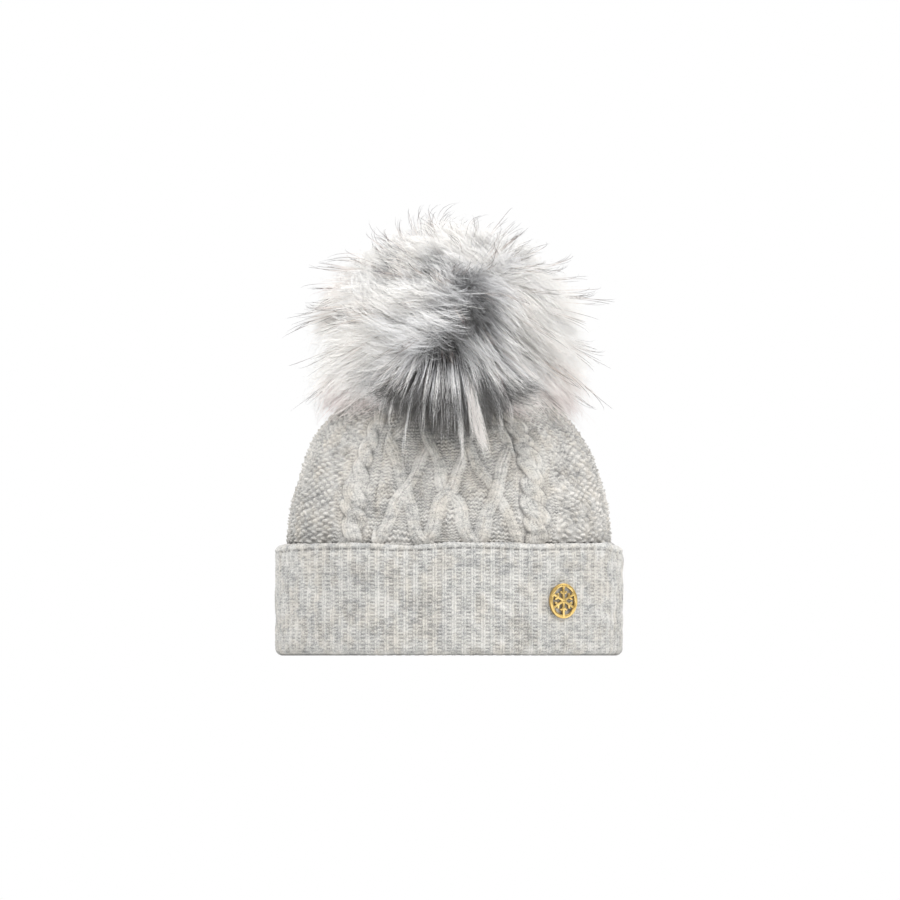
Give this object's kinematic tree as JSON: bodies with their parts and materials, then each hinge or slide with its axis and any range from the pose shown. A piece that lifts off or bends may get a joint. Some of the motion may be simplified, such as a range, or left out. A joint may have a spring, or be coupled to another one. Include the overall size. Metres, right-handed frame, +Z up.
{
  "type": "pom pom beanie",
  "caption": "Knitted beanie with a turned-up ribbed cuff, a cable-knit crown, a plain badge and a fur pom on a press snap.",
  "frame": {"origin": "middle of the cuff's fold, on the surface that the hat stands on", "axes": "+Z up through the middle of the pom, -Y towards the front of the hat, +X towards the side with the badge"},
  "size_m": [0.2148, 0.172, 0.27],
  "materials": {
    "rib_knit": "matte",
    "crown_knit": "matte",
    "seam_thread": "satin",
    "seam_knit": "matte",
    "felt": "matte",
    "snap_steel": "satin",
    "spring_steel": "polished",
    "leather": "satin",
    "fur_backing": "matte",
    "stuffing": "matte",
    "fur": "satin",
    "badge_gold": "polished",
    "label_satin": "satin"
  },
  "bodies": {
    "hat": {"rib_band": "rib_knit", "crown_knit": "crown_knit", "crown_link_seam": "seam_thread", "back_seam": "seam_knit", "crown_draw_thread": "seam_thread", "crown_patch": "felt", "patch_stitching": "seam_thread", "snap_socket": "snap_steel", "snap_socket_post": "snap_steel", "badge": "badge_gold", "badge_back_plate": "snap_steel", "label_bar_tacks": "seam_thread"},
    "snap_ring": {"snap_spring_ring": "spring_steel"},
    "pom_mount": {"snap_stud": "snap_steel", "snap_stud_post": "snap_steel", "pom_base_disc": "leather", "base_disc_stitching": "seam_thread"},
    "pom": {"fur_backing": "fur_backing", "pom_stuffing": "stuffing", "gather_thread": "seam_thread", "fur_pile": "fur"},
    "label_flap": {"care_label": "label_satin"}
  },
  "joints": [
    {"name": "pom_spin", "type": "hinge", "parent": "hat", "child": "snap_ring", "pos_m": [0, 0, 0.1861], "axis": [0, 0, 1], "continuous": true},
    {"name": "pom_unsnap", "type": "slide", "parent": "snap_ring", "child": "pom_mount", "axis": [0, 0, 1], "range_m": [0, 0.06]},
    {"name": "pom_tilt", "type": "hinge", "parent": "pom_mount", "child": "pom", "pos_m": [0, 0, 0.1904], "axis": [1, 0, 0], "range_deg": [-6, 6], "stiffness_Nm_per_rad": 0.4},
    {"name": "label_swing", "type": "hinge", "parent": "hat", "child": "label_flap", "pos_m": [0, 0.0661, 0.0616], "axis": [-1, 0, 0], "range_deg": [0, 100]}
  ]
}
